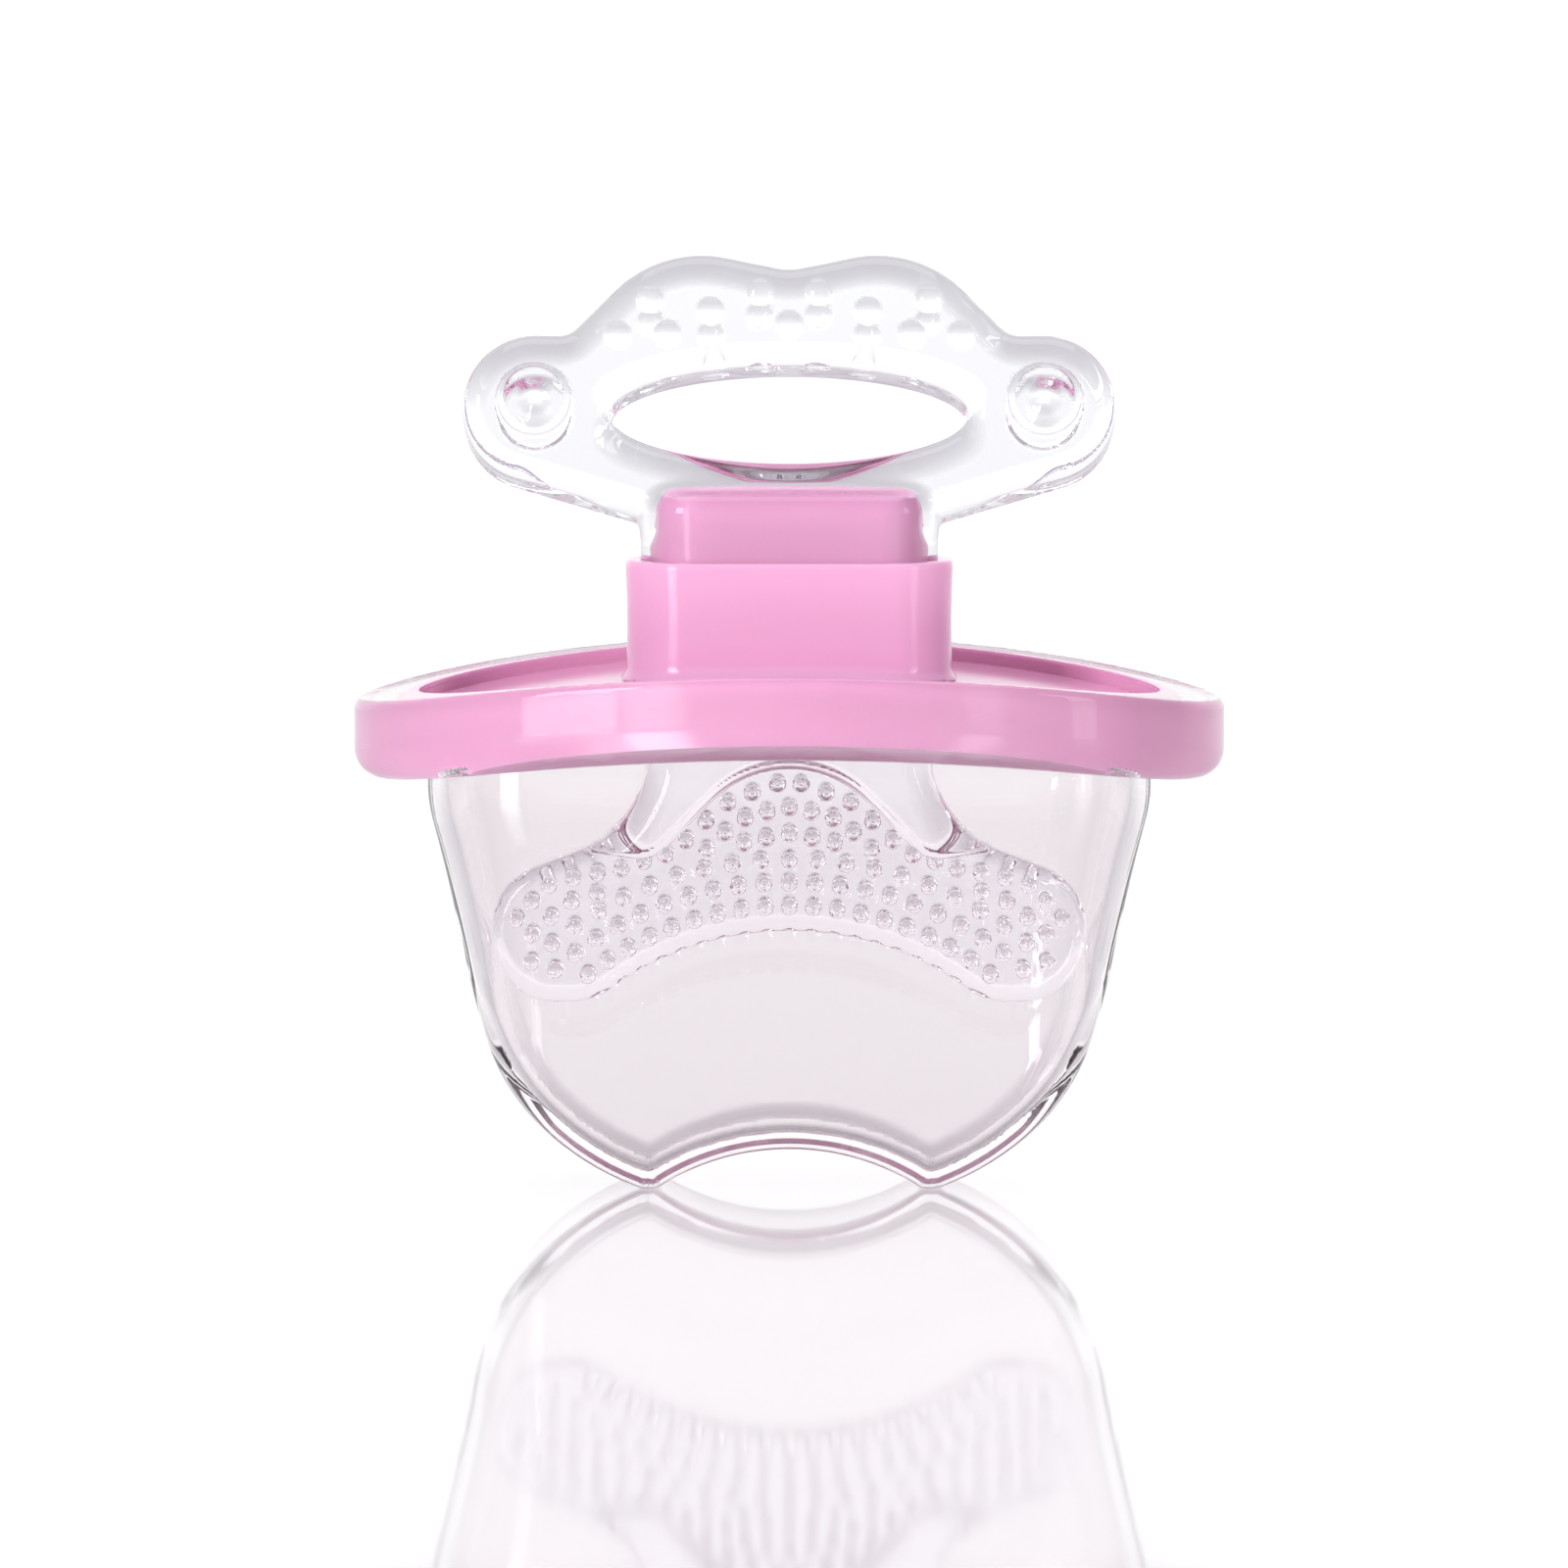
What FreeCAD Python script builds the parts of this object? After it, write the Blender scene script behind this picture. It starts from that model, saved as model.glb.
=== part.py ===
import FreeCAD, Part
import math
import os

# Front-gum teether with a press-on cover. Millimetres, +Z up, the cover stands on Z = 0.
# X runs along the shield's width and -Y is the front. Soft parts are clear silicone.

V = FreeCAD.Vector

# shield and its soft rim
SHIELD_HALF_WIDTH = 33.0
SHIELD_HALF_DEPTH = 21.75
SHIELD_END_RADIUS = 19.0
SHIELD_TOP_Z = 40.05
SHIELD_ARCH_RADIUS = 170.0
RIM_HEIGHT = 6.4
RIM_TOP_ROUND = 0.7
RIM_BOTTOM_ROUND = 2.8
PLATE_HALF_WIDTH = 29.0
PLATE_HALF_DEPTH = 20.7
PLATE_END_RADIUS = 17.0
PLATE_FLOOR_DEPTH = 1.3
PLATE_LIP_DEPTH = 0.25
PLATE_LIP_WIDTH = 0.9
POCKET_DEPTH = 1.35

# collar, core and neck
COLLAR_HALF_WIDTH = 12.4
COLLAR_HALF_DEPTH = 6.1
COLLAR_TOP_Z = 47.4
COLLAR_CORNER = 4.6
COLLAR_TOP_ROUND = 0.35
COLLAR_FOOT_WIDTH = 0.35
COLLAR_FOOT_HEIGHT = 0.6
NECK_HALF_WIDTH = 11.2
NECK_HALF_DEPTH = 4.9
NECK_TOP_Z = 52.6
NECK_BOTTOM_Z = 41.5
NECK_CORNER = 4.2
NECK_TOP_ROUND = 2.0
CORE_HALF_WIDTH = 9.2
CORE_HALF_DEPTH = 2.5
CORE_CORNER = 2.3
CORE_BOTTOM_Z = 37.2
CORE_TOP_Z = 52.0
CORE_DOME_RADIUS = 70.0

# handle, drawn in its own plane (x, u) and leaning back about the neck
HANDLE_THICKNESS = 7.0
HANDLE_EDGE_ROUND = 1.6
HANDLE_LEAN_DEG = 15.0
HANDLE_PIVOT_Z = 50.0
HANDLE_OUTLINE = [
    # half outline from the top dip to the neck: x, u, corner radius
    (0.0, 19.2, 5.6),
    (9.7, 21.25, 9.3),
    (16.68, 14.15, 2.0),
    (24.75, 14.25, 5.55),
    (24.75, 4.4, 5.55),
    (11.3, 0.35, 1.2),
    (10.4, -1.6, 0.8),
]
HOLE_HALF_WIDTH = 13.5
HOLE_HALF_HEIGHT = 3.75
HOLE_U = 8.05
DOT_RADIUS = 1.05
DOT_RISE = 0.35
FRONT_DOTS = [(0.0, 14.7), (2.25, 17.25), (5.95, 15.75), (9.25, 14.0), (10.55, 16.7), (13.0, 13.9)]
BACK_DOTS = [(2.25, 16.45), (5.95, 14.95), (10.55, 15.9)]
EAR_BOSS = (19.3, 8.9)
EAR_BOSS_RADIUS = 2.75
EAR_BOSS_RISE = 0.9
EAR_BOSS_ROUND = 0.6

# chewing plate with its stem and nubs
GUM_THICKNESS = 4.4
GUM_EDGE_ROUND = 1.2
GUM_OUTLINE = [
    # half outline from the underside of the arch to the stem's top: x, z, corner radius
    (0.0, 24.8, 23.0),
    (14.9, 13.95, 5.0),
    (22.95, 13.95, 5.2),
    (22.95, 22.79, 5.2),
    (10.7, 27.44, 8.0),
    (10.7, 34.5, 0.0),
]
STEM_HALF_WIDTH = 10.7
STEM_CORNER = 4.0
STEM_THICKNESS = 8.4
STEM_EDGE_ROUND = 0.8
NUB_FIELD = [
    # half outline of the thin nubbed field, under the stem's arch: x, z, corner radius
    (0.0, 35.1, 8.4),
    (10.5, 24.95, 1.6),
    (26.0, 36.0, 0.0),
    (26.0, 8.0, 0.0),
]
NUB_ARC_CENTRE_Z = -3.65
NUB_ROWS = [
    # one row of nubs on +X: step in degrees, then its path as (degrees, radius) about the arcs' centre
    (4.2, [(0.0, 24.9), (42.0, 24.9)]),
    (4.15, [(0.0, 26.7), (41.5, 26.8)]),
    (4.36, [(0.0, 28.45), (43.6, 28.5)]),
    (3.3, [(0.0, 30.35), (6.6, 29.9)]),
    (3.02, [(0.0, 32.3), (6.0, 31.7), (9.1, 30.85), (12.1, 29.86)]),
    (3.3, [(1.5, 34.1), (8.0, 33.0), (14.4, 31.0), (17.5, 30.3), (24.5, 30.5), (34.6, 32.2), (41.2, 31.7)]),
    (3.8, [(29.3, 29.75), (33.0, 30.2), (40.8, 30.0)]),
]
NUB_BASE_RADIUS = 0.54
NUB_TIP_RADIUS = 0.38
NUB_HEIGHT = 0.5
NUB_EDGE_MARGIN = 1.3

# cover
MOUTH_HALF_WIDTH = 27.3
MOUTH_HALF_DEPTH = 13.7
MOUTH_CORNER = 8.7
MOUTH_CLEARANCE = 0.3
MOUTH_BAND_Z = 28.2
BASE_HALF_WIDTH = 21.3
BASE_HALF_DEPTH = 6.6
BASE_CORNER = 4.5
COVER_FRONT = [
    # half outline of the cup's front below the mouth: x, z, corner radius
    (0.0, 6.57, 17.9),
    (10.0, 0.0, 0.4),
    (11.2, 0.0, 0.4),
    (19.55, 3.18, 21.0),
    (28.4, 22.7, 1.0),
    (31.6, 48.0, 0.0),
]
COVER_WALL = 1.5

# rough blanks that are cut to shape: where a column starts, and a reach past everything
BLANK_BOTTOM_Z = 25.0
BLANK_REACH = 40.0


def turned_corner(before, corner, after, radius):
    """The two tangent points and the middle of the arc that rounds one corner of an outline."""
    to_before = (before - corner).normalize()
    to_after = (after - corner).normalize()
    half_angle = to_before.getAngle(to_after) / 2.0
    run = radius / math.tan(half_angle)
    bisector = (to_before + to_after).normalize()
    middle = corner + bisector * (radius / math.sin(half_angle) - radius)
    return corner + to_before * run, middle, corner + to_after * run


def rounded_wire(corners):
    """A closed wire through (point, radius) corners, straight between the tangent arcs."""
    edges = []
    first = None
    last = None
    for i, (corner, radius) in enumerate(corners):
        if radius > 0.0:
            before = corners[i - 1][0]
            after = corners[(i + 1) % len(corners)][0]
            start, middle, end = turned_corner(before, corner, after, radius)
        else:
            start = end = corner
        if last is not None and last.distanceToPoint(start) > 1e-4:
            edges.append(Part.LineSegment(last, start).toShape())
        if radius > 0.0:
            edges.append(Part.Arc(start, middle, end).toShape())
        first = first or start
        last = end
    if last.distanceToPoint(first) > 1e-4:
        edges.append(Part.LineSegment(last, first).toShape())
    return Part.Wire(Part.__sortEdges__(edges))


def mirrored(half):
    """A whole outline in the XZ plane from the half on +X, as (point, radius) corners."""
    right = [(V(x, 0, z), radius) for x, z, radius in half]
    left = [(V(-x, 0, z), radius) for x, z, radius in reversed(half) if x > 0.0]
    return right + left


def slab(wire, thickness, middle_y=0.0):
    """A wire in the XZ plane made into a plate of this thickness, centred on middle_y."""
    face = Part.Face(wire)
    face.translate(V(0, middle_y - thickness / 2.0, 0))
    return face.extrude(V(0, thickness, 0))


def oval(half_width, half_depth, end_radius, z):
    """A four-arc oval at height z, with its ends on end_radius and tangent side arcs."""
    end_x = half_width - end_radius
    side_radius = (end_x**2 + half_depth**2 - end_radius**2) / (2.0 * (half_depth - end_radius))
    side_y = side_radius - half_depth
    reach = math.hypot(end_x, side_y)
    join_x = end_x * side_radius / reach
    join_y = side_y * side_radius / reach - side_y
    edges = [
        Part.Arc(V(join_x, -join_y, z), V(half_width, 0, z), V(join_x, join_y, z)).toShape(),
        Part.Arc(V(join_x, join_y, z), V(0, half_depth, z), V(-join_x, join_y, z)).toShape(),
        Part.Arc(V(-join_x, join_y, z), V(-half_width, 0, z), V(-join_x, -join_y, z)).toShape(),
        Part.Arc(V(-join_x, -join_y, z), V(0, -half_depth, z), V(join_x, -join_y, z)).toShape(),
    ]
    return Part.Wire(edges)


def rounded_rectangle(half_width, half_depth, corner, z):
    """A rounded rectangle at height z."""
    corners = [
        (V(half_width, -half_depth, z), corner),
        (V(half_width, half_depth, z), corner),
        (V(-half_width, half_depth, z), corner),
        (V(-half_width, -half_depth, z), corner),
    ]
    return rounded_wire(corners)


def column(wire, height):
    return Part.Face(wire).extrude(V(0, 0, height))


def below_arch(drop):
    """Everything below the arched surface that lies this far under the rim's top."""
    radius = SHIELD_ARCH_RADIUS - drop
    centre_z = SHIELD_TOP_Z - SHIELD_ARCH_RADIUS
    reach = BLANK_REACH
    edge_z = centre_z + math.sqrt(radius**2 - reach**2)
    floor_z = -BLANK_REACH
    wire = Part.Wire([
        Part.Arc(V(-reach, 0, edge_z), V(0, 0, centre_z + radius), V(reach, 0, edge_z)).toShape(),
        Part.LineSegment(V(reach, 0, edge_z), V(reach, 0, floor_z)).toShape(),
        Part.LineSegment(V(reach, 0, floor_z), V(-reach, 0, floor_z)).toShape(),
        Part.LineSegment(V(-reach, 0, floor_z), V(-reach, 0, edge_z)).toShape(),
    ])
    return slab(wire, 2.0 * reach)


def arched_column(wire_at, top_drop, bottom_drop):
    """A column cut off by two coaxial arched surfaces, in drops below the rim's top."""
    whole = column(wire_at(BLANK_BOTTOM_Z), BLANK_REACH)
    return whole.common(below_arch(top_drop)).cut(below_arch(bottom_drop))


def edges_where(shape, test):
    return [edge for edge in shape.Edges if test(edge)]


def shield_outline(z):
    return oval(SHIELD_HALF_WIDTH, SHIELD_HALF_DEPTH, SHIELD_END_RADIUS, z)


def plate_outline(z):
    return oval(PLATE_HALF_WIDTH, PLATE_HALF_DEPTH, PLATE_END_RADIUS, z)


def plate_inner_outline(z):
    return oval(
        PLATE_HALF_WIDTH - PLATE_LIP_WIDTH,
        PLATE_HALF_DEPTH - PLATE_LIP_WIDTH,
        PLATE_END_RADIUS - PLATE_LIP_WIDTH,
        z,
    )


def pocket_outline(z):
    grow = MOUTH_CLEARANCE
    return rounded_rectangle(MOUTH_HALF_WIDTH + grow, MOUTH_HALF_DEPTH + grow, MOUTH_CORNER + grow, z)


def stem_column(bottom_z, top_z):
    """The stem's straight part, which fills a slot of the same section in the shield."""
    section = rounded_rectangle(STEM_HALF_WIDTH, STEM_THICKNESS / 2.0, STEM_CORNER, bottom_z)
    return column(section, top_z - bottom_z)


def make_shield():
    """The hard pink plate: an arched floor with a raised lip and a slot for the stem."""
    body = arched_column(plate_outline, PLATE_LIP_DEPTH, RIM_HEIGHT - POCKET_DEPTH)
    dish = column(plate_inner_outline(BLANK_BOTTOM_Z), BLANK_REACH).cut(below_arch(PLATE_FLOOR_DEPTH))
    return body.cut(dish).cut(stem_column(BLANK_BOTTOM_Z, SHIELD_TOP_Z))


def make_shield_rim():
    """The soft rim: it wraps the plate's edge and underside and leaves a pocket for the cover."""
    body = arched_column(shield_outline, 0.0, RIM_HEIGHT)
    bottom_middle_z = SHIELD_TOP_Z - RIM_HEIGHT
    low = edges_where(body, lambda e: e.BoundBox.ZMax < bottom_middle_z + 0.1)
    body = body.makeFillet(RIM_BOTTOM_ROUND, low)
    top_end_z = SHIELD_TOP_Z - SHIELD_HALF_WIDTH**2 / (2.0 * SHIELD_ARCH_RADIUS)
    high = edges_where(body, lambda e: e.BoundBox.ZMin > top_end_z - 0.1)
    body = body.makeFillet(RIM_TOP_ROUND, high)
    plate = arched_column(plate_outline, -BLANK_REACH, RIM_HEIGHT - POCKET_DEPTH)
    pocket = column(pocket_outline(BLANK_BOTTOM_Z), SHIELD_TOP_Z - BLANK_BOTTOM_Z)
    return body.cut(plate).cut(pocket)


def make_collar():
    """The sleeve round the neck, with a narrow foot on the shield's floor."""
    sides = (COLLAR_HALF_WIDTH, COLLAR_HALF_DEPTH, COLLAR_CORNER)
    foot_sides = tuple(side + COLLAR_FOOT_WIDTH for side in sides)
    foot_top_z = SHIELD_TOP_Z - PLATE_FLOOR_DEPTH + COLLAR_FOOT_HEIGHT
    sleeve = column(rounded_rectangle(*sides, BLANK_BOTTOM_Z), COLLAR_TOP_Z - BLANK_BOTTOM_Z)
    top = edges_where(sleeve, lambda e: e.BoundBox.ZMin > COLLAR_TOP_Z - 0.01)
    sleeve = sleeve.makeFillet(COLLAR_TOP_ROUND, top)
    foot = column(rounded_rectangle(*foot_sides, BLANK_BOTTOM_Z), foot_top_z - BLANK_BOTTOM_Z)
    bore_sides = (NECK_HALF_WIDTH, NECK_HALF_DEPTH, NECK_CORNER)
    bore = column(rounded_rectangle(*bore_sides, BLANK_BOTTOM_Z), BLANK_REACH)
    return sleeve.fuse(foot).removeSplitter().cut(bore).cut(below_arch(PLATE_FLOOR_DEPTH))


def make_core():
    """The hard tongue inside the neck and the stem, with a domed top."""
    section = rounded_rectangle(CORE_HALF_WIDTH, CORE_HALF_DEPTH, CORE_CORNER, CORE_BOTTOM_Z)
    tongue = column(section, CORE_TOP_Z - CORE_BOTTOM_Z + CORE_HALF_DEPTH)
    dome_start = V(0, -BLANK_REACH, CORE_TOP_Z - CORE_DOME_RADIUS)
    dome_body = Part.makeCylinder(CORE_DOME_RADIUS, 2.0 * BLANK_REACH, dome_start, V(0, 1, 0))
    return tongue.common(dome_body)


def handle_plane(shape):
    """Takes a shape drawn with u along Z about the origin to the handle's leaning plane."""
    shape.rotate(V(0, 0, 0), V(1, 0, 0), -HANDLE_LEAN_DEG)
    shape.translate(V(0, 0, HANDLE_PIVOT_Z))
    return shape


def both_sides(points):
    """Points on +X and their mirror images, with those on the middle once."""
    return [(sign * x, z) for x, z in points for sign in ((1, -1) if x > 0.0 else (1,))]


def make_dots():
    """Low domes on both faces of the handle: balls sunk so that only a cap stands out."""
    ball_radius = (DOT_RADIUS**2 + DOT_RISE**2) / (2.0 * DOT_RISE)
    centre_y = HANDLE_THICKNESS / 2.0 + DOT_RISE - ball_radius
    dots = []
    for side, places in ((-1, FRONT_DOTS), (1, BACK_DOTS)):
        for x, u in both_sides(places):
            dots.append(Part.makeSphere(ball_radius, V(x, side * centre_y, u)))
    return dots


def make_ear_bosses():
    """A round boss on each face of each ear, with a rounded lip."""
    face_y = HANDLE_THICKNESS / 2.0
    root = 1.0
    bosses = []
    for x, u in both_sides([EAR_BOSS]):
        for side in (-1, 1):
            start = V(x, side * (face_y - root), u)
            boss = Part.makeCylinder(EAR_BOSS_RADIUS, root + EAR_BOSS_RISE, start, V(0, side, 0))
            top_y = side * (face_y + EAR_BOSS_RISE)
            lip = edges_where(boss, lambda e: abs(e.BoundBox.YMin - top_y) + e.BoundBox.YLength < 0.01)
            bosses.append(boss.makeFillet(EAR_BOSS_ROUND, lip))
    return bosses


def make_neck():
    """The soft neck that goes down through the collar, rounded where the handle grows from it."""
    section = rounded_rectangle(NECK_HALF_WIDTH, NECK_HALF_DEPTH, NECK_CORNER, NECK_BOTTOM_Z)
    neck = column(section, NECK_TOP_Z - NECK_BOTTOM_Z)
    top = edges_where(neck, lambda e: e.BoundBox.ZMin > NECK_TOP_Z - 0.01)
    return neck.makeFillet(NECK_TOP_ROUND, top)


def make_handle():
    """The soft handle with its finger hole, dots and ear bosses, and the neck round the core."""
    hole_centre = V(0, 0, HOLE_U)
    hole_end = V(HOLE_HALF_WIDTH, 0, HOLE_U)
    hole_top = V(0, 0, HOLE_U + HOLE_HALF_HEIGHT)
    hole = Part.Wire(Part.Ellipse(hole_end, hole_top, hole_centre).toShape())
    plate = slab(rounded_wire(mirrored(HANDLE_OUTLINE)), HANDLE_THICKNESS)
    plate = plate.cut(slab(hole, 2.0 * HANDLE_THICKNESS))
    plate = plate.makeFillet(HANDLE_EDGE_ROUND, edges_where(plate, lambda e: e.BoundBox.YLength < 0.01))
    plate = plate.fuse(make_dots() + make_ear_bosses()).removeSplitter()
    return handle_plane(plate).fuse(make_neck()).cut(make_core()).removeSplitter()


def along(path, angle):
    """The radius at this angle on a path of (degrees, radius) points."""
    for (angle_a, radius_a), (angle_b, radius_b) in zip(path, path[1:]):
        if angle <= angle_b:
            break
    share = (angle - angle_a) / (angle_b - angle_a)
    return radius_a + share * (radius_b - radius_a)


def nub_places(outline):
    """Nubs stand in rows, from arcs along the plate's lower edge to one that follows the stem's arch."""
    plate = Part.Face(outline)
    places = []
    for step, path in NUB_ROWS:
        first, last = path[0][0], path[-1][0]
        for i in range(int((last - first) / step + 1e-6) + 1):
            angle = first + i * step
            radius = along(path, angle)
            x = radius * math.sin(math.radians(angle))
            z = NUB_ARC_CENTRE_Z + radius * math.cos(math.radians(angle))
            place = V(x, 0, z)
            clear = Part.Vertex(place).distToShape(outline)[0] > NUB_EDGE_MARGIN
            if clear and plate.isInside(place, 1e-4, True):
                places.append((x, z))
    return both_sides(places)


def front_and_back(shape):
    """The outline edges of a plate, leaving out the one where it is cut off under the shield."""
    top_z = shape.BoundBox.ZMax
    return edges_where(
        shape, lambda e: e.BoundBox.YLength < 0.01 and e.BoundBox.ZMin < top_z - 0.1
    )


def make_chewing_plate():
    """The soft gum plate: a thin moustache-shaped plate, a thick stem and nubs on both faces."""
    outline = rounded_wire(mirrored(GUM_OUTLINE))
    field = rounded_wire(mirrored(NUB_FIELD))
    gum = slab(outline, GUM_THICKNESS)
    gum = gum.makeFillet(GUM_EDGE_ROUND, front_and_back(gum))
    stem = slab(outline, STEM_THICKNESS).cut(slab(field, 2.0 * STEM_THICKNESS))
    stem = stem.makeFillet(STEM_EDGE_ROUND, front_and_back(stem))
    root = 0.1
    face_y = GUM_THICKNESS / 2.0 - root
    nubs = []
    for x, z in nub_places(outline):
        for side in (-1, 1):
            start = V(x, side * face_y, z)
            nubs.append(
                Part.makeCone(NUB_BASE_RADIUS, NUB_TIP_RADIUS, root + NUB_HEIGHT, start, V(0, side, 0))
            )
    straight = stem_column(GUM_OUTLINE[-1][1] - 1.0, NECK_BOTTOM_Z)
    return gum.fuse([stem, straight] + nubs).cut(make_core()).removeSplitter()


def cover_block(inset, top_drop):
    """The cup's outer form, or its inside when inset by the wall."""
    mouth = (MOUTH_HALF_WIDTH - inset, MOUTH_HALF_DEPTH - inset, MOUTH_CORNER - inset)
    base = (BASE_HALF_WIDTH - inset, BASE_HALF_DEPTH - inset, BASE_CORNER - inset)
    band = column(rounded_rectangle(*mouth, MOUTH_BAND_Z), 12.0).common(below_arch(top_drop))
    taper = Part.makeLoft(
        [rounded_rectangle(*base, 0.0), rounded_rectangle(*mouth, MOUTH_BAND_Z)], True, True
    )
    front = rounded_wire(mirrored(COVER_FRONT))
    if inset > 0.0:
        front = front.makeOffset2D(-inset)
    return taper.fuse(band).common(slab(front, 2.0 * BLANK_REACH)).removeSplitter()


def make_cover():
    """The clear cup, thin-walled, standing on two feet with a notch between them."""
    outer = cover_block(0.0, RIM_HEIGHT - POCKET_DEPTH + MOUTH_CLEARANCE)
    return outer.cut(cover_block(COVER_WALL, 0.0))


PARTS = {
    "shield": make_shield,
    "shield_rim": make_shield_rim,
    "collar": make_collar,
    "core": make_core,
    "handle": make_handle,
    "chewing_plate": make_chewing_plate,
    "cover": make_cover,
}

if __name__ == "__main__":
    os.makedirs("parts", exist_ok=True)
    for name, make in PARTS.items():
        shape = make()
        print(name, len(shape.Solids), round(shape.Volume, 2), shape.isValid(), shape.BoundBox)
        shape.exportStep(f"parts/{name}.step")
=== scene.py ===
import math

import bpy
import numpy as np
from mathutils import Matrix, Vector


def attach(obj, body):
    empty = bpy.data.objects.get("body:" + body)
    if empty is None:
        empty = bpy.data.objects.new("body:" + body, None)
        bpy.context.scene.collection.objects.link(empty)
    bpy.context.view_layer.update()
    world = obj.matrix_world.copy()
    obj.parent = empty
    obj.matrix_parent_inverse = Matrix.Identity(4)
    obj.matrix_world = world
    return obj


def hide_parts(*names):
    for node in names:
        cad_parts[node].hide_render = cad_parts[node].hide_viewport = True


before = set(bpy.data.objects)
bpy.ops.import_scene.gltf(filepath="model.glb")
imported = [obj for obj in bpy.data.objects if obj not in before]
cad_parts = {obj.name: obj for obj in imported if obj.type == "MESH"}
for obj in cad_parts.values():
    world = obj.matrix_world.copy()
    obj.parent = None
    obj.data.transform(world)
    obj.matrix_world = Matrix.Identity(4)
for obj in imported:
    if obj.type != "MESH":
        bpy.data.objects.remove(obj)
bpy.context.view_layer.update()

# Front-gum teether with a press-on cover. Fields and sizes below are in millimetres in the object's
# frame: X along the shield's width, -Y the front, +Z up. Meshes are made in metres.

MM = 0.001

# shield
SHIELD_HALF_WIDTH, SHIELD_HALF_DEPTH, SHIELD_END_RADIUS = 33.0, 21.75, 19.0
PLATE_HALF_WIDTH, PLATE_HALF_DEPTH, PLATE_END_RADIUS = 29.0, 20.7, 17.0
RIM_TOP_Z, RIM_HEIGHT, ARCH_RADIUS = 40.05, 6.4, 170.0
PLATE_FLOOR_DROP, PLATE_UNDERSIDE_DROP = 1.3, 5.05
RIM_TOP_ROUND, RIM_LOW_ROUND = 0.6, 2.8
RIM_DISH_MARGIN, RIM_DISH_EXTRA_DEPTH = 0.95, 0.6
RIM_LIP_WIDTH, RIM_LIP_SLOPE, RIM_LIP_REACH = 0.8, 0.35, 0.5
RIM_POCKET_GAP = 0.3

# neck, collar and core
NECK_HALF_WIDTH, NECK_HALF_DEPTH, NECK_CORNER = 11.25, 4.95, 4.2
NECK_BOTTOM_Z, NECK_TOP_Z = 41.5, 52.6
COLLAR_HALF_WIDTH, COLLAR_HALF_DEPTH, COLLAR_CORNER = 12.4, 6.1, 4.6
COLLAR_TOP_Z, COLLAR_TOP_ROUND, COLLAR_FOOT_FLARE = 47.4, 0.4, 0.35
COLLAR_CROWN, COLLAR_PINCH = 0.004, 0.12
COLLAR_FOOT_HEIGHT, COLLAR_SINK, COLLAR_GRIP = 0.45, 0.1, 0.05
NECK_ROUND, NECK_BLEND = 1.5, 0.9

# handle, in its own leaning plane (x, u)
HANDLE_THICKNESS, HANDLE_ROUND, HANDLE_LEAN, HANDLE_PIVOT_Z = 7.0, 1.65, math.radians(15.0), 50.0
HANDLE_OUTLINE = [
    (0.0, 19.2, 5.6), (9.7, 21.25, 9.3), (16.68, 14.15, 2.0), (24.75, 14.25, 5.55),
    (24.75, 4.4, 5.55), (11.3, 0.35, 1.2), (10.4, -1.6, 0.8),
]
HOLE_HALF_WIDTH, HOLE_HALF_HEIGHT, HOLE_U = 13.5, 3.75, 8.05
FRONT_DOTS = [(0.0, 14.7), (2.25, 17.25), (5.95, 15.75), (9.25, 14.0), (10.55, 16.7), (13.0, 13.9)]
BACK_DOTS = [(2.25, 16.45), (5.95, 14.95), (10.55, 15.9)]
HOLE_BLEND = 0.6
DOT_RADIUS, DOT_RISE, DOT_BLEND = 1.05, 0.35, 0.06
EAR_BOSS, EAR_BOSS_RADIUS, EAR_BOSS_RISE = (19.3, 8.9), 2.75, 0.9
EAR_BOSS_ROUND, EAR_BOSS_BLEND = 0.5, 0.25
DIMPLE_RADIUS, DIMPLE_LIFT = 2.25, 2.0

# chewing plate
GUM_THICKNESS, GUM_ROUND = 4.4, 1.2
GUM_OUTLINE = [
    (0.0, 24.8, 23.0), (14.9, 13.95, 5.0), (22.95, 13.95, 5.2), (22.95, 22.79, 5.2),
    (10.7, 27.44, 8.0), (10.7, 44.0, 0.2),
]
STEM_THICKNESS, STEM_ROUND, STEM_ARCH_ROUND, STEM_TOP_Z = 8.4, 2.4, 0.45, 40.0
NUB_FIELD = [(0.0, 35.1, 8.4), (10.5, 24.95, 2.6), (30.0, 27.6, 0.5), (30.0, 8.0, 0.5)]
NUB_ARC_CENTRE_Z = -3.65
NUB_ROWS = [
    # one row of nubs on +X: step in degrees, then its path as (degrees, radius) about the arcs' centre
    (4.2, [(0.0, 24.9), (42.0, 24.9)]),
    (4.15, [(0.0, 26.7), (41.5, 26.8)]),
    (4.36, [(0.0, 28.45), (43.6, 28.5)]),
    (3.3, [(0.0, 30.35), (6.6, 29.9)]),
    (3.02, [(0.0, 32.3), (6.0, 31.7), (9.1, 30.85), (12.1, 29.86)]),
    (3.3, [(1.5, 34.1), (8.0, 33.0), (14.4, 31.0), (17.5, 30.3), (24.5, 30.5), (34.6, 32.2), (41.2, 31.7)]),
    (3.8, [(29.3, 29.75), (33.0, 30.2), (40.8, 30.0)]),
]
NUB_BASE_RADIUS, NUB_TIP_RADIUS, NUB_HEIGHT, NUB_MARGIN = 0.54, 0.38, 0.5, 1.3

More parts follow.
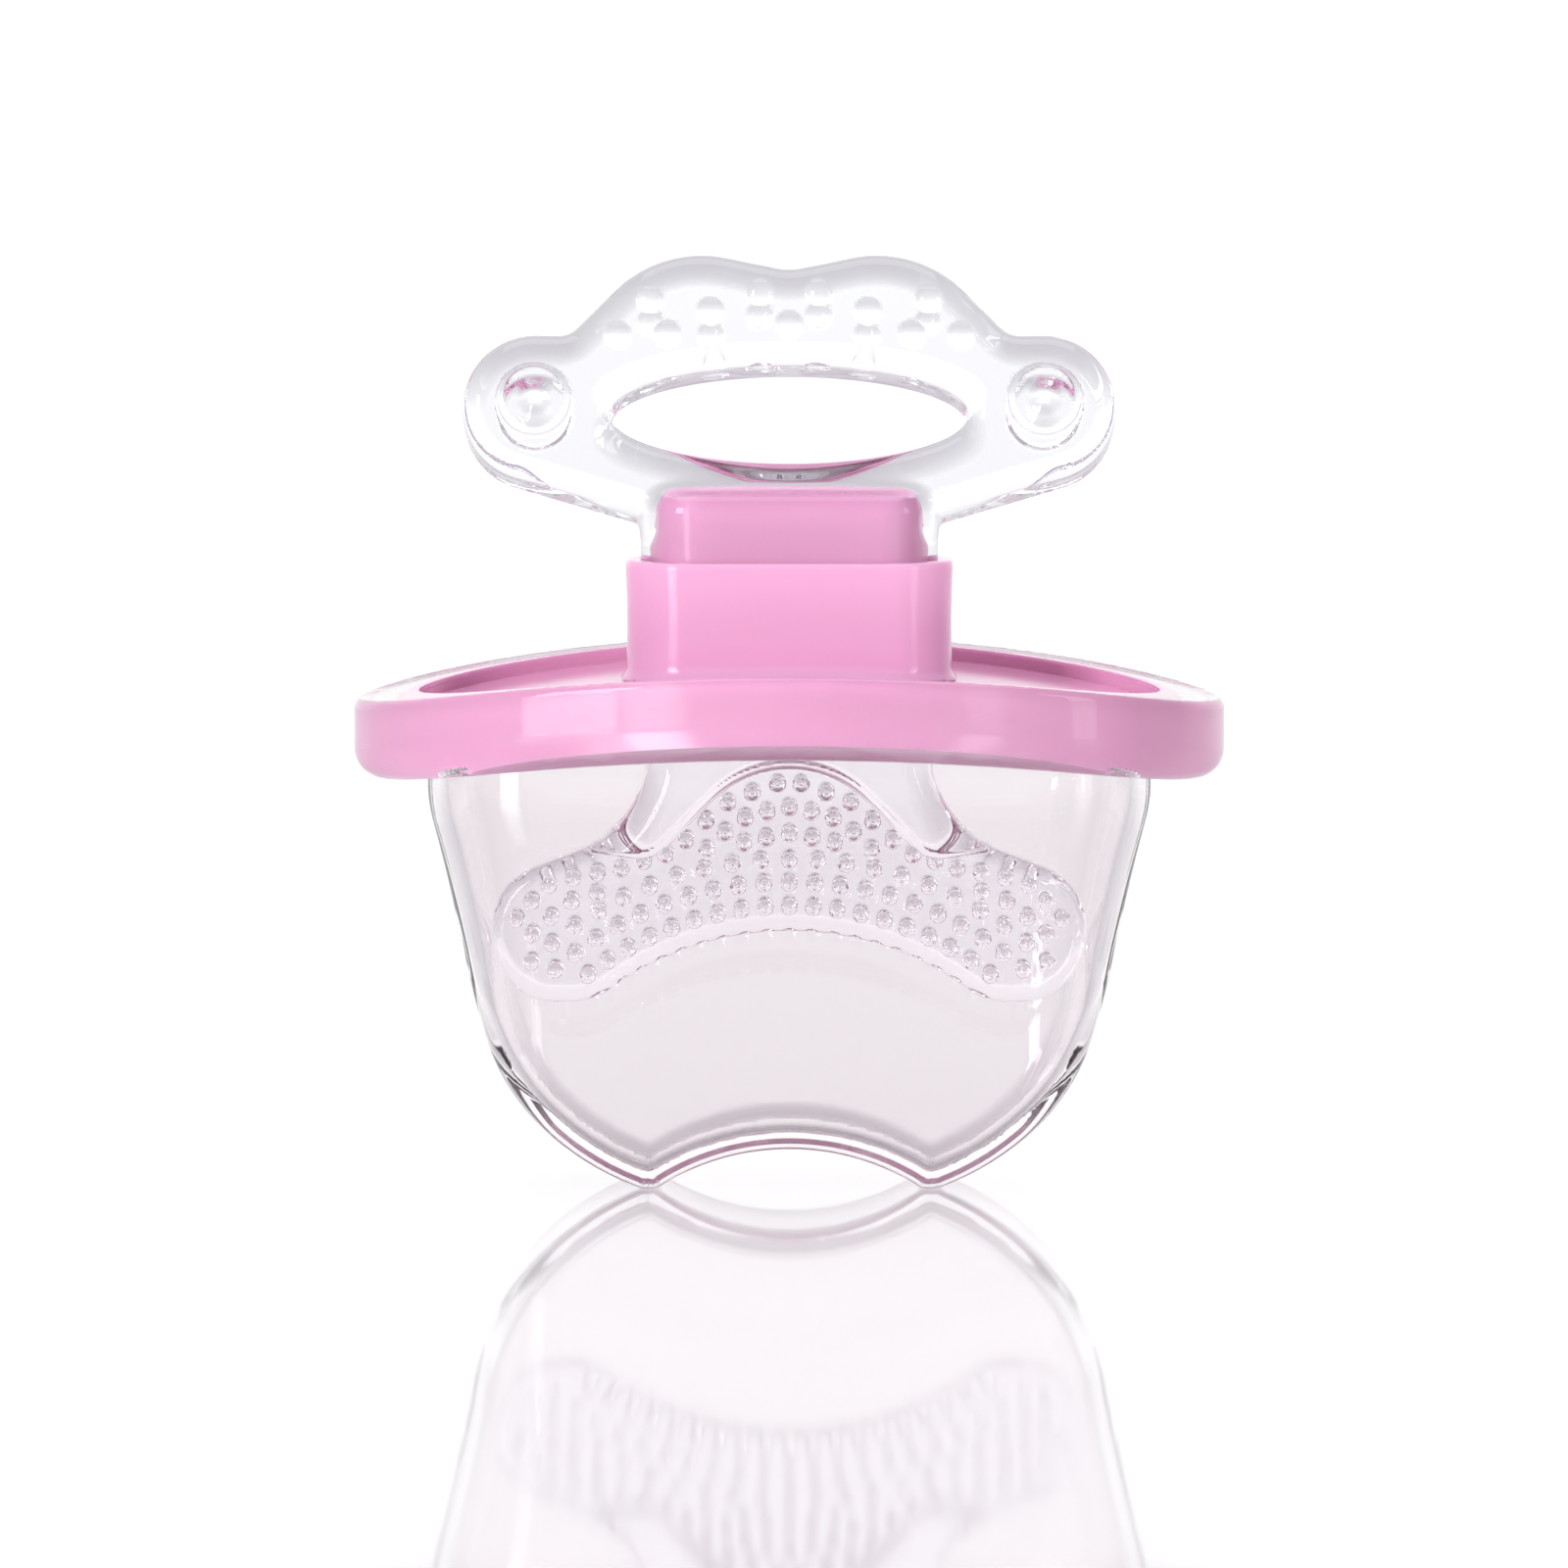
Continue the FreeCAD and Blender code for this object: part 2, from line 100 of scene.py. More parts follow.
# cover
MOUTH_HALF_WIDTH, MOUTH_HALF_DEPTH, MOUTH_CORNER, MOUTH_BAND_Z = 27.3, 13.7, 8.7, 28.2
BASE_HALF_DEPTH, BASE_CORNER = 6.6, 4.5
COVER_FRONT = [
    (0.0, 6.57, 17.9), (10.0, 0.0, 0.6), (11.2, 0.0, 0.6), (19.55, 3.18, 21.0),
    (28.4, 22.7, 1.0), (31.6, 48.0, 1.0),
]
COVER_WALL, COVER_ROUND, COVER_INNER_ROUND, COVER_TOP_DROP = 1.5, 1.4, 1.0, 5.35
COVER_FLARE_START, COVER_FLARE_SLOPE, COVER_FLARE_CURVE = 22.61, 0.042, 0.004
COVER_TAPER_SHARE = 0.975


# ---------------------------------------------------------------- implicit modelling

def unit(vectors):
    return vectors / np.linalg.norm(vectors, axis=-1, keepdims=True)


def mirrored(half):
    """A whole outline from the corners on +X, whose first and last may lie on the middle."""
    return half + [(-x, z, r) for x, z, r in reversed(half) if x > 0.0]


class Outline:
    """A closed outline of straight runs and tangent arcs, from (x, z, corner radius) corners."""

    def __init__(self, corners):
        points = np.array([corner[:2] for corner in corners], float)
        radii = np.array([corner[2] for corner in corners], float)
        following = np.roll(points, -1, axis=0)
        area = np.sum(points[:, 0] * following[:, 1] - points[:, 1] * following[:, 0])
        if area < 0.0:
            points, radii = points[::-1], radii[::-1]
        back = unit(np.roll(points, 1, axis=0) - points)
        ahead = unit(np.roll(points, -1, axis=0) - points)
        half = 0.5 * np.arccos(np.clip(np.sum(back * ahead, axis=1), -1.0, 1.0))
        run = (radii / np.tan(half))[:, None]
        middle = unit(back + ahead)
        self.radii = radii
        self.centres = points + middle * (radii / np.sin(half))[:, None]
        self.towards = -middle
        self.spread = np.sin(half)
        self.convex = np.where(back[:, 1] * ahead[:, 0] - back[:, 0] * ahead[:, 1] > 0.0, 1.0, -1.0)
        self.starts = points + ahead * run
        ends = np.roll(points + back * run, -1, axis=0)
        self.lengths = np.linalg.norm(ends - self.starts, axis=1)
        self.directions = (ends - self.starts) / np.maximum(self.lengths, 1e-9)[:, None]

    def distance(self, x, z):
        """Signed distance, negative inside."""
        best = np.full(np.shape(x), 1e9)
        for centre, radius, towards, spread, convex in zip(
            self.centres, self.radii, self.towards, self.spread, self.convex
        ):
            dx, dz = x - centre[0], z - centre[1]
            reach = np.hypot(dx, dz)
            signed = convex * (reach - radius)
            inside_sector = dx * towards[0] + dz * towards[1] >= reach * spread
            closer = inside_sector & (np.abs(signed) < np.abs(best))
            best = np.where(closer, signed, best)
        for start, direction, length in zip(self.starts, self.directions, self.lengths):
            if length > 1e-6:
                dx, dz = x - start[0], z - start[1]
                along = np.clip(dx * direction[0] + dz * direction[1], 0.0, length)
                gap = np.hypot(dx - along * direction[0], dz - along * direction[1])
                side = np.where(direction[0] * dz - direction[1] * dx > 0.0, -1.0, 1.0)
                best = np.where(gap < np.abs(best), side * gap, best)
        return best


def smooth_min(a, b, width):
    overlap = np.maximum(width - np.abs(a - b), 0.0) / width
    return np.minimum(a, b) - 0.25 * width * overlap * overlap


def smooth_max(a, b, width):
    return -smooth_min(-a, -b, width)


def rounded_slab(flat_distance, height, half_thickness, rounding):
    """A plate from its flat outline's distance, with edges rounded all round."""
    a = flat_distance + rounding
    b = np.abs(height) - half_thickness + rounding
    outside = np.hypot(np.maximum(a, 0.0), np.maximum(b, 0.0))
    return np.minimum(np.maximum(a, b), 0.0) + outside - rounding


def round_max(a, b, radius):
    """What two fields share, with the edge between them rounded to a true radius."""
    corner = np.hypot(np.maximum(a + radius, 0.0), np.maximum(b + radius, 0.0))
    return np.minimum(np.maximum(a, b), -radius) + corner


def box_distance(x, y, half_x, half_y, corner):
    """Distance to a rounded rectangle about the origin."""
    a = np.abs(x) - half_x + corner
    b = np.abs(y) - half_y + corner
    outside = np.hypot(np.maximum(a, 0.0), np.maximum(b, 0.0))
    return np.minimum(np.maximum(a, b), 0.0) + outside - corner


def oval_outline(half_width, half_depth, end_radius):
    """A four-arc oval in plan, as the distance to it."""
    end_x = half_width - end_radius
    side_radius = (end_x**2 + half_depth**2 - end_radius**2) / (2.0 * (half_depth - end_radius))
    side_y = side_radius - half_depth

    def distance(x, y):
        ax, ay = np.abs(x), np.abs(y)
        at_end = np.hypot(ax - end_x, ay) - end_radius
        at_side = np.hypot(ax, ay + side_y) - side_radius
        in_end = ay * end_x < side_y * (ax - end_x)
        return np.where(in_end, at_end, at_side)

    return distance


BLOCK = 4
TETRAHEDRON = np.array([(1, -1, -1), (-1, -1, 1), (-1, 1, -1), (1, 1, 1)], float)


def sampled(field, low, step, counts):
    """The field on a grid, worked out finely only in the blocks that the surface may cross."""
    blocks = counts // BLOCK
    centres = [low[i] + (np.arange(blocks[i]) + 0.5) * BLOCK * step for i in range(3)]
    coarse = field(*np.meshgrid(*centres, indexing="ij"))
    values = np.repeat(np.repeat(np.repeat(coarse, BLOCK, 0), BLOCK, 1), BLOCK, 2)
    near = np.argwhere(np.abs(coarse) < BLOCK * step * 1.5)
    offsets = np.stack(np.meshgrid(*[np.arange(BLOCK)] * 3, indexing="ij"), -1).reshape(-1, 3)
    for part in np.array_split(near, max(1, len(near) // 4000)):
        nodes = (part[:, None, :] * BLOCK + offsets[None]).reshape(-1, 3)
        place = low + nodes * step
        values[tuple(nodes.T)] = field(place[:, 0], place[:, 1], place[:, 2])
    return values


def value_and_slope(field, place, reach=0.004):
    slope = np.zeros_like(place)
    total = np.zeros(len(place))
    for corner in TETRAHEDRON:
        moved = place + reach * corner
        value = field(moved[:, 0], moved[:, 1], moved[:, 2])
        slope += corner * value[:, None]
        total += value
    return total / 4.0, slope / (4.0 * reach)


def surface(name, field, low, high, step):
    """A mesh object of the field's zero level: a grid net, drawn onto the surface and evened."""
    low, high = np.array(low, float), np.array(high, float)
    counts = (np.ceil((high - low) / step / BLOCK).astype(int) + 1) * BLOCK
    values = sampled(field, low, step, counts)
    solid = values < 0.0
    cells = tuple(counts - 1)
    total = np.zeros(cells, int)
    shifts = [(i, j, k) for i in (0, 1) for j in (0, 1) for k in (0, 1)]
    window = {s: tuple(slice(s[a], s[a] + cells[a]) for a in range(3)) for s in shifts}
    for shift in shifts:
        total += solid[window[shift]]
    active = (total > 0) & (total < 8)
    number = np.full(cells, -1)
    number[active] = np.arange(np.count_nonzero(active))
    base = np.argwhere(active).astype(float)
    place, hits = np.zeros_like(base), np.zeros(len(base))
    for one in shifts:
        for axis in range(3):
            if one[axis] == 0:
                other = tuple(1 if a == axis else one[a] for a in range(3))
                a, b = values[window[one]][active], values[window[other]][active]
                crossed = (a < 0.0) != (b < 0.0)
                share = np.where(crossed, a / np.where(crossed, a - b, 1.0), 0.0)
                point = base + one
                point[:, axis] += share
                place += np.where(crossed[:, None], point, 0.0)
                hits += crossed
    place = low + step * place / hits[:, None]
    quads = []
    for axis in range(3):
        u, v = (axis + 1) % 3, (axis + 2) % 3
        inner = [slice(None)] * 3
        inner[axis], inner[u], inner[v] = slice(0, cells[axis]), slice(1, cells[u]), slice(1, cells[v])
        ahead = list(inner)
        ahead[axis] = slice(1, cells[axis] + 1)
        first, second = solid[tuple(inner)], solid[tuple(ahead)]
        crossing = np.argwhere(first != second)
        starts_solid = first[first != second]
        crossing[:, u] += 1
        crossing[:, v] += 1
        ring = []
        for du, dv in ((-1, -1), (0, -1), (0, 0), (-1, 0)):
            cell = crossing.copy()
            cell[:, u] += du
            cell[:, v] += dv
            ring.append(number[tuple(cell.T)])
        ring = np.stack(ring, 1)
        quads.append(np.where(starts_solid[:, None], ring, ring[:, ::-1]))
    quads = np.concatenate(quads)
    for turn in range(4):
        for _ in range(2):
            value, slope = value_and_slope(field, place)
            push = -value[:, None] * slope / np.maximum(np.sum(slope**2, 1), 1e-6)[:, None]
            size = np.linalg.norm(push, axis=1, keepdims=True)
            place += push * np.minimum(1.0, 0.5 * step / np.maximum(size, 1e-9))
        if turn < 3:
            middles = place[quads].mean(axis=1)
            summed, count = np.zeros_like(place), np.zeros(len(place))
            for corner in range(4):
                np.add.at(summed, quads[:, corner], middles)
                np.add.at(count, quads[:, corner], 1.0)
            pull = summed / count[:, None] - place
            normal = unit(slope)
            pull -= normal * np.sum(pull * normal, 1, keepdims=True)
            place += 0.7 * pull
    normals = unit(value_and_slope(field, place)[1])
    mesh = bpy.data.meshes.new(name)
    mesh.vertices.add(len(place))
    mesh.vertices.foreach_set("co", (place * MM).ravel())
    mesh.loops.add(quads.size)
    mesh.loops.foreach_set("vertex_index", quads.ravel().astype(np.int32))
    mesh.polygons.add(len(quads))
    mesh.polygons.foreach_set("loop_start", np.arange(0, quads.size, 4, dtype=np.int32))
    mesh.polygons.foreach_set("loop_total", np.full(len(quads), 4, dtype=np.int32))
    mesh.update(calc_edges=True)
    mesh.shade_smooth()
    mesh.normals_split_custom_set_from_vertices(normals)
    piece = bpy.data.objects.new(name, mesh)
    bpy.context.scene.collection.objects.link(piece)
    print(name, len(place), "points")
    return piece


# ---------------------------------------------------------------- fields of the soft and clear parts

def arch_height(x, z):
    """Height above the arched level of the rim's top."""
    return z - RIM_TOP_Z + ARCH_RADIUS - np.sqrt(ARCH_RADIUS**2 - x * x)


def handle_field():
    plate = Outline(mirrored(HANDLE_OUTLINE))
    lean_sin, lean_cos = math.sin(HANDLE_LEAN), math.cos(HANDLE_LEAN)
    half = HANDLE_THICKNESS / 2.0
    ball = (DOT_RADIUS**2 + DOT_RISE**2) / (2.0 * DOT_RISE)

    def field(x, y, z):
        up = z - HANDLE_PIVOT_Z
        u = y * lean_sin + up * lean_cos
        w = y * lean_cos - up * lean_sin
        ring_x, ring_u = x / HOLE_HALF_WIDTH, (u - HOLE_U) / HOLE_HALF_HEIGHT
        reach = np.hypot(ring_x, ring_u)
        slope = np.hypot(ring_x / HOLE_HALF_WIDTH, ring_u / HOLE_HALF_HEIGHT)
        hole = (reach - 1.0) * reach / np.maximum(slope, 1e-6)
        flat = smooth_max(plate.distance(x, u), -hole, HOLE_BLEND)
        body = rounded_slab(flat, w, half, HANDLE_ROUND)
        for facing, places in ((-1.0, FRONT_DOTS), (1.0, BACK_DOTS)):
            depth = facing * w - half - DOT_RISE + ball
            for dot_x, dot_u in places:
                dot = np.sqrt((np.abs(x) - dot_x) ** 2 + (u - dot_u) ** 2 + depth**2) - ball
                body = smooth_min(body, dot, DOT_BLEND)
        from_boss = np.hypot(np.abs(x) - EAR_BOSS[0], u - EAR_BOSS[1])
        boss = rounded_slab(from_boss - EAR_BOSS_RADIUS, w, half + EAR_BOSS_RISE, EAR_BOSS_ROUND)
        above_boss = np.abs(w) - half - EAR_BOSS_RISE
        dimple = np.hypot(from_boss, above_boss - DIMPLE_LIFT) - DIMPLE_RADIUS
        boss = smooth_max(boss, -dimple, EAR_BOSS_BLEND)
        body = smooth_min(body, boss, EAR_BOSS_BLEND)
        neck = rounded_slab(
            box_distance(x, y, NECK_HALF_WIDTH, NECK_HALF_DEPTH, NECK_CORNER),
            z - (NECK_BOTTOM_Z + NECK_TOP_Z) / 2.0, (NECK_TOP_Z - NECK_BOTTOM_Z) / 2.0, NECK_ROUND,
        )
        return smooth_min(body, neck, NECK_BLEND)

    return field


def nub_places():
    """Nub centres in rows, from arcs along the plate's lower edge to one that follows the stem's arch."""
    plate = Outline(mirrored(GUM_OUTLINE))
    places = []
    for step, path in NUB_ROWS:
        path_angles, path_radii = np.array(path).T
        angles = np.arange(path_angles[0], path_angles[-1] + 0.001, step)
        radii = np.interp(angles, path_angles, path_radii)
        x = radii * np.sin(np.radians(angles))
        z = NUB_ARC_CENTRE_Z + radii * np.cos(np.radians(angles))
        for place in zip(x, z):
            if plate.distance(*place) < -NUB_MARGIN:
                places.append(place)
    return places + [(-x, z) for x, z in places if x > 0.0]


def nearest_nub():
    """A look-up from any point of the plate to the centre of the nub nearest to it."""
    cell, left, bottom = 0.1, -25.0, 12.0
    grid_x, grid_z = np.meshgrid(np.arange(left, -left, cell), np.arange(bottom, 37.0, cell), indexing="ij")
    best = np.full(grid_x.shape, 1e9)
    centre_x, centre_z = np.zeros_like(best), np.zeros_like(best)
    for x, z in nub_places():
        reach = np.hypot(grid_x - x, grid_z - z)
        closer = reach < best
        best[closer], centre_x[closer], centre_z[closer] = reach[closer], x, z

    def look_up(x, z):
        i = np.clip(np.round((x - left) / cell).astype(int), 0, best.shape[0] - 1)
        j = np.clip(np.round((z - bottom) / cell).astype(int), 0, best.shape[1] - 1)
        return centre_x[i, j], centre_z[i, j]

    return look_up


def chewing_field():
    plate, thin = Outline(mirrored(GUM_OUTLINE)), Outline(mirrored(NUB_FIELD))
    nub_by = nearest_nub()

    def field(x, y, z):
        flat = plate.distance(x, z)
        body = rounded_slab(flat, y, GUM_THICKNESS / 2.0, GUM_ROUND)
        stem = rounded_slab(flat, y, STEM_THICKNESS / 2.0, STEM_ROUND)
        stem = round_max(stem, -thin.distance(x, z), STEM_ARCH_ROUND)
        body = smooth_min(body, stem, 0.3)
        centre_x, centre_z = nub_by(x, z)
        across = np.hypot(x - centre_x, z - centre_z)
        rise = np.abs(y) - GUM_THICKNESS / 2.0
        below_tip = np.clip(1.0 - rise / NUB_HEIGHT, 0.0, 1.5)
        taper = NUB_TIP_RADIUS + (NUB_BASE_RADIUS - NUB_TIP_RADIUS) * below_tip
        tip = NUB_HEIGHT - NUB_TIP_RADIUS
        nub = np.hypot(across, np.maximum(rise - tip, 0.0)) - np.where(rise > tip, NUB_TIP_RADIUS, taper)
        nub = np.maximum(nub, -0.5 - rise)
        return smooth_max(smooth_min(body, nub, 0.1), z - STEM_TOP_Z, 0.3)

    return field


def collar_field():
    def field(x, y, z):
        height = arch_height(x, z) + PLATE_FLOOR_DROP
        share = np.clip(height / (COLLAR_TOP_Z - RIM_TOP_Z + PLATE_FLOOR_DROP), 0.0, 1.0)
        bulge_x = np.abs(x) + COLLAR_PINCH * np.sin(math.pi * share)
        bulge_y = np.abs(y) + COLLAR_CROWN * x * x
        outer = box_distance(bulge_x, bulge_y, COLLAR_HALF_WIDTH, COLLAR_HALF_DEPTH, COLLAR_CORNER)
        outer = outer - COLLAR_FOOT_FLARE * np.exp(-((height / COLLAR_FOOT_HEIGHT) ** 2))
        bore = box_distance(
            x, y, NECK_HALF_WIDTH - COLLAR_GRIP, NECK_HALF_DEPTH - COLLAR_GRIP, NECK_CORNER,
        )
        body = round_max(outer, z - COLLAR_TOP_Z, COLLAR_TOP_ROUND)
        return smooth_max(smooth_max(body, -bore, 0.3), -height - COLLAR_SINK, 0.05)

    return field


def cover_field():
    front = Outline(mirrored(COVER_FRONT))

    def field(x, y, z):
        share = smooth_min(z / MOUTH_BAND_Z, 1.0, 0.06)
        flare = COVER_FLARE_START + COVER_FLARE_SLOPE * z + COVER_FLARE_CURVE * z * z
        half_x = smooth_min(flare, MOUTH_HALF_WIDTH, 0.4)
        half_y = BASE_HALF_DEPTH + (MOUTH_HALF_DEPTH - BASE_HALF_DEPTH) * share
        corner = BASE_CORNER + (MOUTH_CORNER - BASE_CORNER) * share
        plan = box_distance(x, y, half_x, half_y, corner) * COVER_TAPER_SHARE
        flat = front.distance(x, z)
        outer = round_max(plan, flat, COVER_ROUND)
        inner = round_max(plan + COVER_WALL, flat + COVER_WALL, COVER_INNER_ROUND)
        shell = np.maximum(outer, -inner)
        return smooth_max(shell, arch_height(x, z) + COVER_TOP_DROP, 0.4)

    return field


def rim_field():
    outer = oval_outline(SHIELD_HALF_WIDTH, SHIELD_HALF_DEPTH, SHIELD_END_RADIUS)
    plate = oval_outline(PLATE_HALF_WIDTH, PLATE_HALF_DEPTH, PLATE_END_RADIUS)

    def field(x, y, z):
        flat = outer(x, y)
        height = arch_height(x, z)
        low = height + RIM_HEIGHT
        body = round_max(flat, -low, RIM_LOW_ROUND)
        body = round_max(body, height, RIM_TOP_ROUND)
        dish_depth = PLATE_FLOOR_DROP + RIM_DISH_EXTRA_DEPTH
        dish = smooth_max(plate(x, y) + RIM_DISH_MARGIN, -(height + dish_depth), 0.4)
        lip_depth = RIM_LIP_SLOPE * np.clip(-flat - RIM_LIP_WIDTH, 0.0, RIM_LIP_REACH)
        lip = smooth_max(flat + RIM_LIP_WIDTH, -(height + lip_depth), 0.3)
        body = smooth_max(body, -dish, 0.3)
        body = smooth_max(body, -lip, 0.5)
        pocket = smooth_max(
            box_distance(
                x, y, MOUTH_HALF_WIDTH + RIM_POCKET_GAP, MOUTH_HALF_DEPTH + RIM_POCKET_GAP,
                MOUTH_CORNER + RIM_POCKET_GAP,
            ),
            height + PLATE_UNDERSIDE_DROP - RIM_POCKET_GAP, 0.3,
        )
        return smooth_max(body, -pocket, 0.4)

    return field


# ---------------------------------------------------------------- materials

SILICONE_IOR, HARD_CLEAR_IOR = 1.41, 1.49


def new_material(name):
    material = bpy.data.materials.new(name)
    material.use_nodes = True
    nodes, links = material.node_tree.nodes, material.node_tree.links
    return material, nodes, links, nodes["Principled BSDF"]


def add_waviness(nodes, links, shader, scale, strength, distance, rough_low, rough_high):
    """Slow moulded waviness in the surface and a little variation of its gloss."""
    place = nodes.new("ShaderNodeTexCoord")
    slow = nodes.new("ShaderNodeTexNoise")
    slow.inputs["Scale"].default_value = scale
    slow.inputs["Detail"].default_value = 1.0
    links.new(place.outputs["Object"], slow.inputs["Vector"])
    bump = nodes.new("ShaderNodeBump")
    bump.inputs["Strength"].default_value = strength
    bump.inputs["Distance"].default_value = distance
    links.new(slow.outputs["Fac"], bump.inputs["Height"])
    links.new(bump.outputs["Normal"], shader.inputs["Normal"])
    gloss = nodes.new("ShaderNodeMapRange")
    gloss.inputs["To Min"].default_value = rough_low
    gloss.inputs["To Max"].default_value = rough_high
    links.new(slow.outputs["Fac"], gloss.inputs["Value"])
    links.new(gloss.outputs["Result"], shader.inputs["Roughness"])
    return slow


def add_tone(nodes, links, shader, slow, one, other):
    """Base colour that drifts between two close tones."""
    tone = nodes.new("ShaderNodeMix")
    tone.data_type = "RGBA"
    tone.inputs["A"].default_value = (*one, 1.0)
    tone.inputs["B"].default_value = (*other, 1.0)
    links.new(slow.outputs["Fac"], tone.inputs["Factor"])
    links.new(tone.outputs["Result"], shader.inputs["Base Color"])


def clear_material(name, tint, shadow_tint, ior, rough, waviness):
    """A clear moulded material. Light from the lamps reaches what is inside it."""
    material, nodes, links, shader = new_material(name)
    shader.inputs["Transmission Weight"].default_value = 1.0
    shader.inputs["IOR"].default_value = ior
    slow = add_waviness(nodes, links, shader, 90.0, waviness, 0.0004, rough, rough + 0.02)
    add_tone(nodes, links, shader, slow, tint, tuple(0.99 * channel for channel in tint))
    path = nodes.new("ShaderNodeLightPath")
    passing = nodes.new("ShaderNodeBsdfTransparent")
    passing.inputs["Color"].default_value = (*shadow_tint, 1.0)
    mix = nodes.new("ShaderNodeMixShader")
    links.new(path.outputs["Is Shadow Ray"], mix.inputs["Fac"])
    links.new(shader.outputs["BSDF"], mix.inputs[1])
    links.new(passing.outputs["BSDF"], mix.inputs[2])
    links.new(mix.outputs["Shader"], nodes["Material Output"].inputs["Surface"])
    return material


def pink_material(name, deep, pale):
    material, nodes, links, shader = new_material(name)
    slow = add_waviness(nodes, links, shader, 60.0, 0.03, 0.0003, 0.1, 0.14)
    add_tone(nodes, links, shader, slow, deep, pale)
    shader.inputs["Subsurface Weight"].default_value = 0.2
    shader.inputs["Subsurface Radius"].default_value = (1.0, 0.4, 0.6)
    shader.inputs["Subsurface Scale"].default_value = 0.002
    shader.inputs["IOR"].default_value = 1.49
    return material


def paint(piece, material):
    piece.data.materials.clear()
    piece.data.materials.append(material)


def dress(node, material):
    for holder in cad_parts[node].material_slots:
        holder.material = material


# ---------------------------------------------------------------- stage

STUDIO_GREY, STUDIO_STRENGTH = 0.24, 1.13
FLOOR_TONE, FLOOR_GLOW, FLOOR_CAMERA_GLOW = (0.5, 0.5, 0.51), 0.15, 0.1
VIEW_ELEVATION = math.radians(5.0)
VIEW_TARGET = Vector((-0.0004, 0.0, 0.03025))
VIEW_WIDTH = 0.119
VIEW_DISTANCE = 0.9
LIGHT_BOUNCES = 32


def make_camera():
    camera = bpy.data.cameras.new("camera")
    camera.sensor_width = 36.0
    camera.lens = camera.sensor_width * VIEW_DISTANCE / VIEW_WIDTH
    camera.clip_start, camera.clip_end = 0.05, 20.0
    holder = bpy.data.objects.new("camera", camera)
    away = Vector((0.0, -math.cos(VIEW_ELEVATION), math.sin(VIEW_ELEVATION)))
    holder.location = VIEW_TARGET + away * VIEW_DISTANCE
    holder.rotation_euler = (-away).to_track_quat("-Z", "Y").to_euler()
    bpy.context.scene.collection.objects.link(holder)
    bpy.context.scene.camera = holder


def make_lamp(name, place, aim, width, height, power):
    lamp = bpy.data.lights.new(name, "AREA")
    lamp.shape = "RECTANGLE"
    lamp.size, lamp.size_y, lamp.energy = width, height, power
    holder = bpy.data.objects.new(name, lamp)
    holder.location = place
    holder.rotation_euler = (Vector(aim) - Vector(place)).to_track_quat("-Z", "Y").to_euler()
    bpy.context.scene.collection.objects.link(holder)
    return holder


def make_world():
    """A white card behind the object and a weaker one in front, with grey studio beside and above.
    The backdrop itself is plain white."""
    world = bpy.data.worlds.new("studio")
    bpy.context.scene.world = world
    world.use_nodes = True
    nodes, links = world.node_tree.nodes, world.node_tree.links
    background = nodes["Background"]
    place = nodes.new("ShaderNodeTexCoord")
    facing = nodes.new("ShaderNodeVectorMath")
    facing.operation = "DOT_PRODUCT"
    facing.inputs[1].default_value = (0.0, 1.0, 0.0)
    links.new(place.outputs["Generated"], facing.inputs[0])
    ramp = nodes.new("ShaderNodeValToRGB")
    shift = nodes.new("ShaderNodeMapRange")
    shift.inputs["From Min"].default_value = -1.0
    links.new(facing.outputs["Value"], shift.inputs["Value"])
    links.new(shift.outputs["Result"], ramp.inputs["Fac"])
    ends = ramp.color_ramp.elements
    ends[0].position, ends[0].color = 0.0, (0.75, 0.75, 0.77, 1.0)
    ends[1].position, ends[1].color = 0.9, (1.0, 1.0, 1.0, 1.0)
    for position, shade in ((0.15, 0.6), (0.4, STUDIO_GREY), (0.68, STUDIO_GREY)):
        ends.new(position).color = (1.06 * shade, 0.94 * shade, 1.08 * shade, 1.0)
    path = nodes.new("ShaderNodeLightPath")
    backdrop = nodes.new("ShaderNodeMix")
    backdrop.data_type = "RGBA"
    links.new(path.outputs["Is Camera Ray"], backdrop.inputs["Factor"])
    links.new(ramp.outputs["Color"], backdrop.inputs["A"])
    backdrop.inputs["B"].default_value = (*[1.0 / STUDIO_STRENGTH] * 3, 1.0)
    background.inputs["Strength"].default_value = STUDIO_STRENGTH
    links.new(backdrop.outputs["Result"], background.inputs["Color"])


def make_floor():
    bpy.ops.mesh.primitive_plane_add(size=20.0, location=(0.0, 0.0, 0.0))
    floor = bpy.context.object
    floor.name = "floor"
    material, nodes, links, shader = new_material("floor")
    shader.inputs["Base Color"].default_value = (*FLOOR_TONE, 1.0)
    shader.inputs["Emission Color"].default_value = (1.0, 1.0, 1.0, 1.0)
    path = nodes.new("ShaderNodeLightPath")
    glow = nodes.new("ShaderNodeMath")
    glow.operation = "MULTIPLY_ADD"
    glow.inputs[1].default_value = FLOOR_CAMERA_GLOW
    glow.inputs[2].default_value = FLOOR_GLOW
    links.new(path.outputs["Is Camera Ray"], glow.inputs[0])
    links.new(glow.outputs["Value"], shader.inputs["Emission Strength"])
    add_waviness(nodes, links, shader, 3.0, 0.0, 0.001, 0.04, 0.05)
    paint(floor, material)


# ---------------------------------------------------------------- the scene

